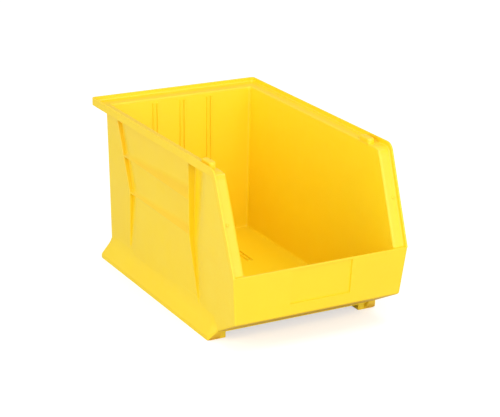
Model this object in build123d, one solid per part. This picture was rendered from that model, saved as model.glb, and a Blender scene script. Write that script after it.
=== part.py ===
from build123d import *
import os

# Stackable hopper-front storage bin, one injection moulding in polypropylene.
# Millimetres, +Z up. The origin is the middle of the footprint, on the ground.
# -Y is the open hopper front, +Y the hanging lip, X the width.
# The real bin is one moulding. Each moulded feature is a solid of its own here,
# and the solids meet face to face.

# Overall sizes
length = 457.2
width = 279.4
height = 254.0

# Wall thicknesses
wall = 2.8
lip_wall = 2.7
front_wall_thickness = 3.2
rib_width = 1.8

# Stacking rim: a shelf one step below the top, and a lip round its outside
shelf_width = 17.5
lip_rise = 7.0
lip_height = 12.0
stack_clearance = 0.8

# Inside faces: the narrowing from the rim down to the floor, on each side
side_draft = 4.0
back_draft = 3.0

# Base
ground_clearance = 12.0
skirt_top = 33.0
skirt_edge = 6.0
skirt_front_setback = 76.0
skirt_back_reach = 9.0
hang_lip_reach = 24.2

# Hopper front: a low wall leaning back, a chin under it, sloped side edges over it
hopper_height = 118.0
hopper_slope_run = 54.0
front_wall_bottom = 47.0
front_wall_lean = 6.5
chin_run = 72.0
chin_joint_rise = 2.0
flange_setback = 6.5
flange_edge_taper = 2.7
front_wall_taper = 6.5
gusset_depth = 3.0

# Outer envelope of the side posts, ribs and fins: how far it stands inside the rim
rear_inset_top = 13.2
rear_inset_mid = 15.7
rear_inset_base = 17.4
front_inset_top = 3.2
front_inset_mid = 4.4
front_inset_base = 10.2

# Side relief
rear_post_top = 63.0
rear_post_mid = 107.0
rear_post_base = 100.0
fin_upper_setback = 143.0
fin_base_setback = 121.0
fin_thickness = 2.0
fin_proud = 0.3
pocket_front_top = 92.0
pocket_front_mid = 108.0
pocket_ramp = 16.0
upper_rib_drop = 63.0
rib_pitch = 53.0
rib_slope_rear = 4.0
rib_slope_front = 18.0
rib_edge = 1.6
upper_rib_reach = 0.97
lower_rib_reach = 0.62
tier_swell_base = 8.4
tier_swell_top = 3.6
tier_swell_start = 0.05
pocket_base_gap = 3.0

# Stop lug, feet and detents
lug_setback = 83.0
lug_length = 27.0
lug_width = 11.0
foot_reach = 28.7
foot_length = 42.0
detent_radius = 2.2
detent_height = 1.2
detent_level = 182.0

# Label recess and divider ribs
label_width = 94.0
label_bottom = 64.5
label_top_margin = 3.0
label_depth = 1.2
divider_pitch = 46.0
divider_gap = 5.2
divider_depth = 2.5
divider_top_drop = 7.0
floor_divider_length = 137.0

# Levels and half widths worked out from the sizes above
floor_top = ground_clearance + wall
shelf_top = height - lip_rise
shelf_under = shelf_top - wall
lip_bottom = height - lip_height
rim_half = width / 2
lip_inner_half = rim_half - lip_wall
inner_top_half = lip_inner_half - shelf_width
skirt_half = lip_inner_half - stack_clearance
upper_rib_level = shelf_top - upper_rib_drop
lower_rib_level = upper_rib_level - rib_pitch
back_inner_top = length - hang_lip_reach - wall
skirt_back = length - hang_lip_reach + skirt_back_reach
slope_rate = hopper_slope_run / (height - hopper_height)
BIG = 2 * (length + width + height)


def between(level, low, high, value_low, value_high):
    """The straight-line value at a level between two known levels."""
    return value_low + (value_high - value_low) * (level - low) / (high - low)


def from_front(distance):
    """The Y of a point this far behind the front of the hopper wall."""
    return distance - length / 2


def inner_half(level):
    """Half the inside width at a level."""
    return between(level, floor_top, shelf_top, inner_top_half - side_draft, inner_top_half)


def plate_half(level):
    """Half the width over the outside of the flat side walls."""
    return inner_half(level) + wall


def back_inner(level):
    """How far the inside of the back wall stands behind the front."""
    return between(level, floor_top, shelf_top, back_inner_top - back_draft, back_inner_top)


def back_outer(level):
    """How far the outside of the back wall stands behind the front."""
    return back_inner(level) + wall


def envelope_half(setback, level):
    """Half the width over the posts, which stand out more towards the front."""
    if level >= lower_rib_level:
        share = between(level, lower_rib_level, shelf_under, 0, 1)
        front = front_inset_mid + (front_inset_top - front_inset_mid) * share
        rear = rear_inset_mid + (rear_inset_top - rear_inset_mid) * share
    else:
        share = between(level, skirt_top, lower_rib_level, 0, 1)
        front = front_inset_base + (front_inset_mid - front_inset_base) * share
        rear = rear_inset_base + (rear_inset_mid - rear_inset_base) * share
    return rim_half - between(setback, 0, back_outer(level), front, rear)


def slope_front(level):
    """How far the sloped hopper edge stands behind the front at a level."""
    return slope_rate * (level - hopper_height)


def fin_setback(level):
    """Where the fin stands: upright over the lower rib, leaning forward under it."""
    if level >= lower_rib_level:
        return fin_upper_setback
    return between(level, skirt_top, lower_rib_level, fin_base_setback, fin_upper_setback)


def post_setback(level):
    """Where the front edge of the rear post stands."""
    if level >= lower_rib_level:
        low, high = length - rear_post_mid, length - rear_post_top
        return between(level, lower_rib_level, shelf_under, low, high)
    low, high = length - rear_post_base, length - rear_post_mid
    return between(level, skirt_top, lower_rib_level, low, high)


def pocket_setback(level):
    """Where the pocket in front of the fin ends and the front post begins."""
    if level >= lower_rib_level:
        return between(level, lower_rib_level, shelf_under, pocket_front_mid, pocket_front_top)
    base = fin_base_setback - fin_thickness - pocket_base_gap
    return between(level, skirt_top, lower_rib_level, base, pocket_front_mid)


def swell(setback, level):
    """How far the lower tier stands out of the flat side wall."""
    full = between(level, skirt_top, lower_rib_level, tier_swell_base, tier_swell_top)
    share = between(setback, post_setback(level), fin_setback(level), tier_swell_start, 1)
    return full * share


def flat(corners):
    """A flat face with straight sides."""
    return Face(Wire.make_polygon(corners, close=True))


def plan(points, level):
    """A flat face at a level, from (X, distance behind the front) corners."""
    return flat([(x, from_front(y), level) for x, y in points])


def stack(sections):
    """A solid through flat sections, one over the other."""
    return Solid.make_loft([face.outer_wire() for face in sections], ruled=True)


def side_view(points, x_low, x_high):
    """A solid from a side outline of (distance behind the front, Z) corners."""
    corners = [(x_low, from_front(y), z) for y, z in points]
    return Solid.extrude(flat(corners), Vector(x_high - x_low, 0, 0))


def block(x_low, x_high, y_low, y_high, z_low, z_high):
    """A plain block, with Y given as distance behind the front."""
    solid = Box(x_high - x_low, y_high - y_low, z_high - z_low, align=(Align.MIN,) * 3)
    return Pos(x_low, from_front(y_low), z_low) * solid


def save(name, solids):
    """Writes one node, as one solid or as a group of separate solids."""
    group = solids if isinstance(solids, list) else [solids]
    singles = [solid for shape in group for solid in shape.solids()]
    part = singles[0] if len(singles) == 1 else Compound(singles)
    part.label = name
    export_step(part, f"parts/{name}.step")


def save_pair(name, solids):
    """Writes a right-hand node and its mirror image on the left."""
    group = solids if isinstance(solids, list) else [solids]
    save(f"right_{name}", group)
    save(f"left_{name}", [mirror(shape, about=Plane.YZ) for shape in group])


# Chin line: the underside runs down and back from the front wall to the floor
chin_direction = Vector(chin_run - front_wall_lean, ground_clearance - front_wall_bottom).normalized()
chin_normal = Vector(-chin_direction.Y, chin_direction.X)


def chin_under(level):
    """How far the underside of the chin stands behind the front at a level."""
    return between(level, ground_clearance, front_wall_bottom, chin_run, front_wall_lean)


def chin_upper(level):
    """How far the upper face of the chin stands behind the front at a level."""
    return chin_under(level) + wall / chin_normal.X


def front_wall_outer(level):
    """How far the leaning outer face of the front wall stands behind the front."""
    return between(level, front_wall_bottom, hopper_height, front_wall_lean, 0)


def front_wall_half(level):
    """Half the width of the front wall, which narrows downwards."""
    top = rim_half - flange_edge_taper
    return between(level, front_wall_bottom, hopper_height, top - front_wall_taper, top)


front_wall_joint = front_wall_bottom + chin_joint_rise
post_levels = (ground_clearance, skirt_top, lower_rib_level, shelf_under)
gusset_bottom = hopper_height - gusset_depth
hang_lip_joint = back_outer(shelf_under)
land_back = flange_setback + wall


def cavity():
    """The tapered space between the inside faces of the two side walls."""
    def section(level):
        half = inner_half(level)
        return plan([(-half, -BIG), (half, -BIG), (half, BIG), (-half, BIG)], level)
    return stack([section(0), section(height)])


def side_outline():
    """Side outline of everything that stands behind the front wall and flanges."""
    return [
        (front_wall_outer(front_wall_joint) + front_wall_thickness, front_wall_joint),
        (chin_under(front_wall_bottom) + front_wall_thickness, front_wall_bottom),
        (chin_run, ground_clearance),
        (back_outer(ground_clearance), ground_clearance),
        (back_outer(shelf_under), shelf_under),
        (slope_front(shelf_under) + land_back, shelf_under),
        (slope_front(hopper_height) + land_back, hopper_height),
        (land_back, gusset_bottom),
        (front_wall_outer(gusset_bottom) + front_wall_thickness, gusset_bottom),
    ]


def floor_panel(inside):
    outline = [
        (chin_run, ground_clearance),
        (chin_upper(floor_top), floor_top),
        (back_inner(floor_top), floor_top),
        (back_inner(ground_clearance), ground_clearance),
    ]
    return side_view(outline, -width, width) & inside


def front_chin(inside):
    outline = [
        (front_wall_lean, front_wall_bottom),
        (front_wall_outer(front_wall_joint), front_wall_joint),
        (front_wall_outer(front_wall_joint) + front_wall_thickness, front_wall_joint),
        (chin_upper(floor_top), floor_top),
        (chin_run, ground_clearance),
    ]
    return side_view(outline, -width, width) & inside


def back_wall(inside):
    outline = [
        (back_inner(ground_clearance), ground_clearance),
        (back_inner(shelf_top), shelf_top),
        (hang_lip_joint, shelf_top),
        (hang_lip_joint, shelf_under),
        (back_outer(ground_clearance), ground_clearance),
    ]
    return side_view(outline, -width, width) & inside


def front_wall():
    """The low wall of the hopper, with a shallow recess for a label."""
    def section(level):
        half = front_wall_half(level)
        near = front_wall_outer(level)
        far = near + front_wall_thickness
        return plan([(-half, near), (half, near), (half, far), (-half, far)], level)
    solid = stack([section(front_wall_joint), section(hopper_height)])
    label_top = hopper_height - label_top_margin
    recess = [
        (front_wall_outer(label_bottom) - 1, label_bottom),
        (front_wall_outer(label_bottom) + label_depth, label_bottom),
        (front_wall_outer(label_top) + label_depth, label_top),
        (front_wall_outer(label_top) - 1, label_top),
    ]
    return solid - side_view(recess, -label_width / 2, label_width / 2)


def side_wall():
    """The flat inner leaf of the right-hand side."""
    def section(level):
        low, high = inner_half(level), plate_half(level)
        return plan([(low, -BIG), (high, -BIG), (high, BIG), (low, BIG)], level)
    return stack([section(0), section(height)]) & side_view(side_outline(), 0, width)


def rear_post():
    """The flat band at the back corner, proud of the recessed side."""
    def section(level):
        near, far = post_setback(level), back_outer(level)
        return plan([
            (plate_half(level), near),
            (envelope_half(near, level), near),
            (envelope_half(far, level), far),
            (plate_half(level), far),
        ], level)
    return stack([section(z) for z in (skirt_top, lower_rib_level, shelf_under)])


def fin():
    """The thin upright rib in front of the recessed tiers."""
    def section(level):
        far = fin_setback(level)
        near = far - fin_thickness
        plate, out = plate_half(level), envelope_half(near, level) + fin_proud
        return plan([(plate, near), (out, near), (out, far), (plate, far)], level)
    return stack([section(z) for z in (skirt_top, lower_rib_level, shelf_under)])


def rib_section(level, setback, reach, rise):
    """Upright section of a side rib: sloped on top, with a thin outer edge."""
    base = plate_half(level - rib_edge)
    edge = base + (envelope_half(setback, level) - base) * reach
    y = from_front(setback)
    return flat([
        (base, y, level - rib_edge),
        (edge, y, level - rib_edge),
        (edge, y, level),
        (plate_half(level + rise), y, level + rise),
    ])


def side_ribs():
    """Two level ribs that step the recessed side like lapped boards."""
    solids = []
    for level, reach in ((upper_rib_level, upper_rib_reach), (lower_rib_level, lower_rib_reach)):
        near = fin_setback(level - rib_edge) - fin_thickness / 2
        far = post_setback(level + rib_slope_rear)
        bar = stack([
            rib_section(level, near, reach, rib_slope_front),
            rib_section(level, far, reach, rib_slope_rear),
        ])
        solids.append(bar - rear_post() - fin())
    return solids


def lower_tier():
    """The lowest tier, which swells outwards towards the fin."""
    top = lower_rib_level - rib_edge
    def section(level):
        near, far = fin_setback(level), post_setback(level)
        base = plate_half(level)
        return plan([
            (base, near),
            (base + swell(near, level), near),
            (base + swell(far, level), far),
            (base, far),
        ], level)
    return stack([section(skirt_top), section(top)])


def post_void():
    """The cored-out inside of the front post, open underneath into the skirt."""
    def section(level):
        edge = pocket_setback(level)
        root = min(edge + pocket_ramp, fin_setback(level) - fin_thickness)
        plate = plate_half(level)
        return plan([
            (plate, root - 2 * wall),
            (envelope_half(edge, level) - wall, edge - wall / 2),
            (envelope_half(0, level) - wall, 0),
            (plate, 0),
        ], level)
    outline = [
        (front_wall_outer(front_wall_joint), front_wall_joint),
        (chin_upper(floor_top), floor_top),
        (skirt_front_setback + wall, floor_top),
        (skirt_front_setback + wall, 0),
        (length, 0),
        (length, height),
        (0, height),
    ]
    return stack([section(z) for z in post_levels]) & side_view(outline, 0, width)


def front_post(void):
    """The hollow post behind the sloped hopper edge."""
    def section(level):
        edge = pocket_setback(level)
        root = min(edge + pocket_ramp, fin_setback(level) - fin_thickness)
        return plan([
            (plate_half(level), root),
            (envelope_half(edge, level), edge),
            (envelope_half(0, level), 0),
            (plate_half(level), 0),
        ], level)
    solid = stack([section(z) for z in post_levels]) & side_view(side_outline(), 0, width)
    under = block(0, width, skirt_front_setback, length, 0, skirt_top)
    return solid - under - void


def skirt_solid(inset, top):
    """The flared base, or the space inside it, as a full-width solid."""
    def section(level, half_front, half_back, back):
        near = skirt_front_setback + inset
        return plan([(-half_front, near), (half_front, near), (half_back, back), (-half_back, back)], level)
    front_half = envelope_half(skirt_front_setback, skirt_top) - inset
    back_half = envelope_half(back_outer(skirt_top), skirt_top) - inset
    foot_half = skirt_half - inset
    back = skirt_back - inset
    return stack([
        section(-inset, foot_half, foot_half, back),
        section(skirt_edge - inset / 2, foot_half, foot_half, back),
        section(top, front_half, back_half, back_outer(top) - inset),
    ])


def skirt():
    """The flared base all round, open underneath and clear of the walls."""
    def section(level):
        half, back = plate_half(level), back_outer(level)
        return plan([(-half, -BIG), (half, -BIG), (half, back), (-half, back)], level)
    core = stack([section(-wall), section(skirt_top + wall)])
    return skirt_solid(0, skirt_top) - core - skirt_solid(wall, skirt_top - wall)


def side_rim():
    """Shelf, lip and apron along the top of the right-hand side."""
    shelf = side_view([
        (slope_front(shelf_under) + flange_setback, shelf_under),
        (slope_front(shelf_top) + flange_setback, shelf_top),
        (hang_lip_joint, shelf_top),
        (hang_lip_joint, shelf_under),
    ], inner_top_half, lip_inner_half)
    lip = side_view([
        (slope_front(lip_bottom), lip_bottom),
        (slope_front(height), height),
        (hang_lip_joint, height),
        (hang_lip_joint, lip_bottom),
    ], lip_inner_half, rim_half)
    return shelf + lip


def hang_lip():
    """The deep rear rim that hooks over a rail, with its lip on three sides."""
    near = hang_lip_joint
    far = length - lip_wall
    shelf = block(-lip_inner_half, lip_inner_half, near, far, shelf_under, shelf_top)
    lip = block(-rim_half, rim_half, near, length, lip_bottom, height)
    hollow = block(-lip_inner_half, lip_inner_half, near, far, lip_bottom, height)
    return shelf + (lip - hollow)


def front_flange():
    """Sloped land and lip from the front wall up to the rim, with its gusset."""
    def lip_half(level):
        return between(level, hopper_height, lip_bottom, rim_half - flange_edge_taper, rim_half)
    def land(level):
        near = slope_front(level) + flange_setback
        inner, outer = inner_half(level), lip_half(min(level, lip_bottom)) - lip_wall
        return plan([(inner, near), (outer, near), (outer, near + wall), (inner, near + wall)], level)
    def lip(level):
        near = slope_front(level)
        outer = lip_half(level)
        inner = outer - lip_wall
        far = near + land_back
        return plan([(inner, near), (outer, near), (outer, far), (inner, far)], level)
    gusset = side_view([
        (front_wall_outer(gusset_bottom) + front_wall_thickness, gusset_bottom),
        (front_wall_thickness, hopper_height),
        (land_back, hopper_height),
        (land_back, gusset_bottom),
    ], inner_half(hopper_height), front_wall_half(gusset_bottom))
    land_solid = stack([land(hopper_height), land(lip_bottom), land(shelf_under)])
    return land_solid + stack([lip(hopper_height), lip(lip_bottom)]) + gusset


def stop_lug():
    """A raised stop on the shelf, which the foot of the bin above drops over."""
    return block(
        inner_top_half, inner_top_half + lug_width, lug_setback, lug_setback + lug_length,
        shelf_top, height,
    )


def foot(ring):
    """A hollow foot under the front corner, open underneath, against the skirt."""
    outer = skirt_half - wall
    inner = skirt_half - foot_reach
    near = skirt_front_setback
    far = near + foot_length
    shell = block(inner, outer, near, far, 0, ground_clearance)
    space = block(inner + wall, skirt_half, near + wall, far - wall, 0, ground_clearance)
    return shell - space - ring


def detent():
    """A small pip on the sloped land of the flange."""
    half = rim_half - flange_edge_taper - lip_wall - 2 * detent_radius
    setback = slope_front(detent_level) + flange_setback
    centre = Vector(half, from_front(setback), detent_level)
    outward = Vector(0, -1, slope_rate).normalized()
    plane = Plane(origin=centre, x_dir=(1, 0, 0), z_dir=outward)
    return plane * Cylinder(detent_radius, detent_height, align=(Align.CENTER, Align.CENTER, Align.MIN))


def divider_pairs():
    """The X range of each divider rib: pairs with a slot between, at a pitch."""
    spans = []
    for centre in (-divider_pitch, 0, divider_pitch):
        for side in (-1, 1):
            middle = centre + side * (divider_gap + rib_width) / 2
            spans.append((middle - rib_width / 2, middle + rib_width / 2))
    return spans


def back_divider_ribs():
    """Upright ribs in pairs on the inside of the back wall."""
    top = shelf_top - divider_top_drop
    outline = [
        (back_inner(floor_top) - divider_depth, floor_top),
        (back_inner(top) - divider_depth, top),
        (back_inner(top), top),
        (back_inner(floor_top), floor_top),
    ]
    return [side_view(outline, low, high) for low, high in divider_pairs()]


def floor_divider_ribs():
    """Low ribs in pairs on the floor, in line with the ribs on the back wall."""
    far = back_inner(floor_top) - divider_depth
    near = far - floor_divider_length
    return [
        block(low, high, near, far, floor_top, floor_top + divider_depth)
        for low, high in divider_pairs()
    ]


def main():
    os.makedirs("parts", exist_ok=True)
    inside = cavity()
    save("floor_panel", floor_panel(inside))
    save("front_chin", front_chin(inside))
    save("back_wall", back_wall(inside))
    save("front_wall", front_wall())
    save("hang_lip", hang_lip())
    save("back_divider_ribs", back_divider_ribs())
    save("floor_divider_ribs", floor_divider_ribs())
    void = post_void()
    ring = skirt() - void - mirror(void, about=Plane.YZ)
    split = plate_half(0)
    save("back_skirt", ring & block(-split, split, 0, length, 0, skirt_top))
    save_pair("base_skirt", ring & block(split, width, 0, length, 0, skirt_top))
    save_pair("side_wall", side_wall())
    save_pair("rear_post", rear_post())
    save_pair("front_post", front_post(void))
    save_pair("side_fin", fin())
    save_pair("side_ribs", side_ribs())
    save_pair("lower_tier", lower_tier())
    save_pair("side_rim", side_rim())
    save_pair("front_flange", front_flange())
    save_pair("stop_lug", stop_lug())
    save_pair("foot", foot(ring))
    save_pair("flange_detent", detent())


main()
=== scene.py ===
from math import cos, radians, sin

import bmesh
import bpy
import numpy as np
from bpy.props import FloatProperty, FloatVectorProperty, PointerProperty
from mathutils import Matrix, Vector


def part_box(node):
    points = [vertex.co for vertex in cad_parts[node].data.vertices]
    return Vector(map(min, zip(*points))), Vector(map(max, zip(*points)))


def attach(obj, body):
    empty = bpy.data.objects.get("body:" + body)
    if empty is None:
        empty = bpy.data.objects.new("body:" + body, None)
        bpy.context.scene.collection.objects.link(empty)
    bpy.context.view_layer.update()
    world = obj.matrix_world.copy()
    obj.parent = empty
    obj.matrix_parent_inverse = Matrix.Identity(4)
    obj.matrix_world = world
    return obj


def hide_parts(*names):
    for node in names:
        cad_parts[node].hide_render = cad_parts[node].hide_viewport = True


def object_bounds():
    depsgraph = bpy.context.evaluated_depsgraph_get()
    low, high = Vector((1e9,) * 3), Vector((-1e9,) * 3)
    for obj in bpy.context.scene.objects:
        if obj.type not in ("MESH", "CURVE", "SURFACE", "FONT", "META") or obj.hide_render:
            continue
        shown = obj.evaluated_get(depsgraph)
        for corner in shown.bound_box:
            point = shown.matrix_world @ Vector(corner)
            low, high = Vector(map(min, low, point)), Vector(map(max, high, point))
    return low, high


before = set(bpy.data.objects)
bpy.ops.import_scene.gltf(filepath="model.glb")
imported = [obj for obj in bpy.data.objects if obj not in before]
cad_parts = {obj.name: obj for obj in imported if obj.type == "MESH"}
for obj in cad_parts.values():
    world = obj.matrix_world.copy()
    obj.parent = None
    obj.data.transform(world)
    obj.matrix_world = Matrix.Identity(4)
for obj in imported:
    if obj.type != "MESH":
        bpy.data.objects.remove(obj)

bl_info = {
    "name": "Stacking storage bin",
    "version": (1, 0, 0),
    "blender": (4, 5, 0),
    "location": "3D View > Sidebar > Storage bin",
    "description": "Builds a moulded hopper-front storage bin and a pale studio round it",
    "category": "Object",
}

# Lengths are in millimetres here, and are turned into metres as a mesh is made.
# Each point is (X, distance behind the front, Z). The right-hand side is +X.
MM = 0.001
CAD_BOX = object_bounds()
FRONT = CAD_BOX[0].y / MM


def chosen(size):
    """One of the user's own sizes, in millimetres."""
    return getattr(bpy.context.scene.bin_sizes, size) / MM


def node_box(node):
    """Lowest and highest corner of a node in millimetres, with Y behind the front."""
    corners = []
    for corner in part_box(node):
        corners.append((corner.x / MM, corner.y / MM - FRONT, corner.z / MM))
    return corners


# Levels and half widths that the frame gives
RIM_LOW, RIM_HIGH = node_box("right_side_rim")
SKIRT_LOW, SKIRT_HIGH = node_box("right_base_skirt")
LIP_LOW, LIP_HIGH = node_box("hang_lip")
FLOOR_LOW, FLOOR_HIGH = node_box("floor_panel")
FRONT_HIGH = node_box("front_wall")[1]
BACK_HIGH = node_box("back_wall")[1]

LENGTH = LIP_HIGH[1]
TOP = RIM_HIGH[2]
RIM_HALF = RIM_HIGH[0]
LIP_BOTTOM = RIM_LOW[2]
SHELF_HALF = RIM_LOW[0]
FLOOR_UNDER = FLOOR_LOW[2]
FLOOR_TOP = FLOOR_HIGH[2]
WALL = FLOOR_TOP - FLOOR_UNDER
SHELF_TOP = BACK_HIGH[2]
SHELF_UNDER = SHELF_TOP - WALL
BACK_OUTSIDE_TOP = LIP_LOW[1]
BACK_INSIDE_TOP = BACK_OUTSIDE_TOP - WALL
HOPPER_TOP = FRONT_HIGH[2]
FRONT_HALF = FRONT_HIGH[0]
SKIRT_TOP = SKIRT_HIGH[2]
SKIRT_HALF = SKIRT_HIGH[0]
SKIRT_FRONT = SKIRT_LOW[1]
SKIRT_BACK = SKIRT_HIGH[1]

# Thicknesses and steps of the moulding
LIP_WALL = 2.7
SIDE_DRAFT = 4.0
BACK_DRAFT = 3.0
FRONT_WALL = 3.2
SKIRT_EDGE = 6.0
SKIRT_INNER_EDGE = 4.6
SKIRT_FADE = 13.0
FLOOR_STRIP = 14.0
FLOOR_SKIN = 1.0
SINK = 0.5
SKIN_OVERLAP = 0.2
# Faces that overlap lie these small steps under the floor's level, so that no two share a plane
FLOOR_STEP = 0.03
CHIN_STEP = 0.04

# Hopper front
SLOPE_RUN = 54.0
LAND_SETBACK = 6.5
LAND_BACK = LAND_SETBACK + WALL
FRONT_FOOT = 47.0
FRONT_LEAN = 6.5
FRONT_NARROWING = 6.5
CHIN_RUN = 72.0
CHIN_SLOPE = (CHIN_RUN - FRONT_LEAN) / (FRONT_FOOT - FLOOR_UNDER)
CHIN_BEND = 0.6
FRONT_EDGE_ROUND = 1.3
PIP_HEIGHT = 0.6

# Relief of the sides
REAR_INSET = {"top": 13.2, "middle": 15.7, "base": 17.4}
FRONT_INSET = {"top": 3.2, "middle": 4.4, "base": 10.2}
UPPER_RIB = 184.0
LOWER_RIB = 131.0
RIB_SLOPE_REAR = 4.0
RIB_EDGE = 1.6
RIB_UNDERCUT = 0.02
UPPER_REACH = 0.97
LOWER_REACH = 0.72
FIN_UPPER = 143.0
FIN_BASE = 121.0
FIN_THICKNESS = 2.0
FIN_PROUD = 0.3
POST_REACH = {"top": 63.0, "middle": 107.0, "base": 100.0}
POCKET_REACH = {"top": 92.0, "middle": 108.0, "base": 112.0}
POCKET_DEPTH = {"top": 10.9, "middle": 7.6, "base": 0.3}
# The tub's outside stands in by this much, so that the scoop beside the rear post isn't filled
SCOOP_CUT = 2.2
# How far the relief wraps round the back corner
CORNER_COVER = 9.0
# First and last corner of side_section that lie on a tier
TIER_STARTS = 7
TIER_ENDS = 11
# How far each recessed tier stands out of the flat wall, at its upper and its lower level:
# beside the fin, in the middle and at the rear post
TIER_STEPS = [
    (SHELF_UNDER, (0.9, 5.2, -1.9)),
    (UPPER_RIB + RIB_SLOPE_REAR, (1.2, 3.8, -0.7)),
    (UPPER_RIB - RIB_EDGE, (0.4, 3.8, -1.8)),
    (LOWER_RIB + RIB_SLOPE_REAR, (0.8, 2.6, -0.4)),
    (LOWER_RIB - RIB_EDGE, (6.6, 4.4, -1.0)),
    (SKIRT_TOP, (8.6, 6.2, 4.4)),
]
# Share of the scoop's length in front of the rear post, and how much of the middle's step it has there
SCOOP_CURVE = [(1.0, 1.0), (0.62, 0.88), (0.3, 0.5)]

# Label recess
LABEL_HALF = 47.0
LABEL_BOTTOM = 64.5
LABEL_TOP = HOPPER_TOP - 3.0
LABEL_EDGE = 0.3

# Studio, in metres
SOFTBOX_WIDTH = 2.4
SOFTBOX_AIM = (0, 0, 0.12)
SOFTBOX_PLACES = {
    "front_softbox": (0.5, -3.3, 1.25),
    "left_softbox": (-3.3, 0.0, 1.4),
    "top_softbox": (0.2, -0.6, 3.2),
    "corner_softbox": (-1.8, -2.9, 1.6),
}
SURROUND_SEEN = 1.05
FLOOR_GLOW_SEEN = 0.58
# In millimetres, as cameras are sold
SENSOR_WIDTH = 36


# Lines of the moulding

def between(level, low, high, value_low, value_high):
    """The straight-line value at a level between two known levels."""
    return value_low + (value_high - value_low) * (level - low) / (high - low)


def three_way(level, values):
    """A value that changes from base to lower rib to rim."""
    if level >= LOWER_RIB:
        return between(level, LOWER_RIB, SHELF_UNDER, values["middle"], values["top"])
    return between(level, SKIRT_TOP, LOWER_RIB, values["base"], values["middle"])


def inner_half(level):
    return between(level, FLOOR_TOP, SHELF_TOP, SHELF_HALF - SIDE_DRAFT, SHELF_HALF)


def plate_half(level):
    return inner_half(level) + WALL


def back_inner(level):
    return between(level, FLOOR_TOP, SHELF_TOP, BACK_INSIDE_TOP - BACK_DRAFT, BACK_INSIDE_TOP)


def back_outer(level):
    return back_inner(level) + WALL


def outline_half(behind, level):
    """Half the width over the posts, which stand out more towards the front."""
    front, rear = three_way(level, FRONT_INSET), three_way(level, REAR_INSET)
    return RIM_HALF - between(behind, 0, back_outer(level), front, rear)


def slope_at(level):
    """How far the sloped hopper edge stands behind the front at a level."""
    return between(level, HOPPER_TOP, TOP, 0, SLOPE_RUN)


def front_wall_at(level):
    return between(level, FRONT_FOOT, HOPPER_TOP, FRONT_LEAN, 0)


def front_wall_half(level):
    return between(level, FRONT_FOOT, HOPPER_TOP, FRONT_HALF - FRONT_NARROWING, FRONT_HALF)


def chin_at(level):
    """How far the underside of the chin stands behind the front at a level."""
    return between(level, FLOOR_UNDER, FRONT_FOOT, CHIN_RUN, FRONT_LEAN)


def fin_at(level):
    if level >= LOWER_RIB:
        return FIN_UPPER
    return between(level, SKIRT_TOP, LOWER_RIB, FIN_BASE, FIN_UPPER)


# Mesh making

# Share of the length between two corners that their roundings may use up
NEARLY_ALL = 0.98
TINY = 1e-9
MERGE_DISTANCE = 0.01
SLIVER_LENGTH = 0.005
SHARP_ANGLE = radians(40)
LARGE_FACE_WEIGHT = 80


def soften(points, reach, closed=False, steps=4):
    """Rounds the corners of many polylines at once.

    points is (corner, line, XYZ). reach is how far from each corner the rounding starts, and
    two neighbouring corners share the length between them.
    """
    points = np.asarray(points, float)
    count = len(points)
    rows = []
    for i in range(count):
        here = points[i]
        inside = closed or 0 < i < count - 1
        if not inside or reach[i] <= 0:
            rows.append(here)
            continue
        sides = []
        for neighbour in (i - 1, (i + 1) % count):
            gap = points[neighbour] - here
            span = np.linalg.norm(gap, axis=1, keepdims=True)
            share = reach[i] / (reach[i] + reach[neighbour])
            step = np.minimum(reach[i], NEARLY_ALL * span * share)
            sides.append(here + gap / np.maximum(span, TINY) * step)
        for k in range(steps + 1):
            t = k / steps
            rows.append((1 - t) ** 2 * sides[0] + 2 * t * (1 - t) * here + t ** 2 * sides[1])
    return np.array(rows)


def soft_grid(points, row_reach, column_reach, ring=False, steps=4):
    """Rounds a grid of corners along both of its directions. ring joins the last row to the first."""
    rows = soften(points, row_reach, ring, steps)
    return soften(rows.transpose(1, 0, 2), column_reach, False, steps).transpose(1, 0, 2)


def make_piece(name, vertices, faces, material, stands_for):
    """A named, smooth-shaded mesh piece that rides on the bin and stands for some of its nodes."""
    mesh = bpy.data.meshes.new(name)
    placed = np.asarray(vertices, float) + (0, FRONT, 0)
    mesh.from_pydata((placed * MM).tolist(), [], faces)
    work = bmesh.new()
    work.from_mesh(mesh)
    bmesh.ops.remove_doubles(work, verts=work.verts, dist=MERGE_DISTANCE * MM)
    bmesh.ops.dissolve_degenerate(work, edges=work.edges, dist=SLIVER_LENGTH * MM)
    bmesh.ops.recalc_face_normals(work, faces=work.faces)
    work.to_mesh(mesh)
    work.free()
    mesh.polygons.foreach_set("use_smooth", [True] * len(mesh.polygons))
    mesh.set_sharp_from_angle(angle=SHARP_ANGLE)
    mesh.materials.append(material)
    piece = bpy.data.objects.new(name, mesh)
    bpy.context.scene.collection.objects.link(piece)
    weigh = piece.modifiers.new("even_shading", "WEIGHTED_NORMAL")
    weigh.keep_sharp = True
    weigh.weight = LARGE_FACE_WEIGHT
    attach(piece, "root")
    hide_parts(*stands_for)


def tube_faces(rows, columns):
    """Faces of a grid whose rows join up in a ring, closed at both ends."""
    faces = []
    for row in range(rows):
        here, after = row * columns, (row + 1) % rows * columns
        for c in range(columns - 1):
            faces.append((here + c, here + c + 1, after + c + 1, after + c))
    faces.append([row * columns for row in range(rows)][::-1])
    faces.append([row * columns + columns - 1 for row in range(rows)])
    return faces


def tube_piece(name, grid, material, *stands_for):
    """A piece made of one closed tube, whose grid is (row round the tube, column along it, XYZ)."""
    rows, columns = grid.shape[:2]
    make_piece(name, grid.reshape(-1, 3), tube_faces(rows, columns), material, stands_for)


def mirrored(grid):
    """The same points on the left-hand side."""
    return grid * (-1, 1, 1)


def both_halves(right):
    """A right-hand run of columns from front to back, then the left-hand one back to the front."""
    left = [[(-x, y, z) for x, y, z in column] for column in reversed(right)]
    return np.array(right + left, float).transpose(1, 0, 2)


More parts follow.
